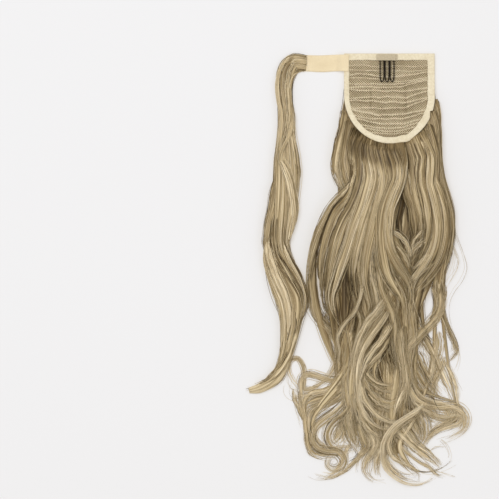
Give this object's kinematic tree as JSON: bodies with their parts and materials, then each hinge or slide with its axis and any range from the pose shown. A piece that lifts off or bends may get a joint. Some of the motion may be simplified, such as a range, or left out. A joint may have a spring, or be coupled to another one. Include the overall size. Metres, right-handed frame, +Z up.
{
  "type": "ponytail hairpiece",
  "caption": "Wavy clip-in ponytail hairpiece laid flat: net base with sewn binding, wire comb, closure tape and strap, and a loose strand to wrap round.",
  "frame": {"origin": "centre of the footprint, on the surface that the piece lies on", "axes": "+X to the base's right when its net side is up, +Y from the hair's tips to the base's top edge, +Z up from the surface"},
  "size_m": [0.2572, 0.5078, 0.028],
  "materials": {
    "hair": "soft sheen, fine strands",
    "net": "matte mesh",
    "binding": "matte ribbed ribbon",
    "strap": "matte tape",
    "closure_tape": "matte hooked tape",
    "comb_wire": "satin"
  },
  "bodies": {
    "root": {"base_net": "net", "base_binding": "binding", "closure_band": "closure_tape", "strap": "strap", "comb": "comb_wire", "comb_tab": "net", "ponytail_hair": "hair", "wrap_strand": "hair"}
  },
  "joints": []
}
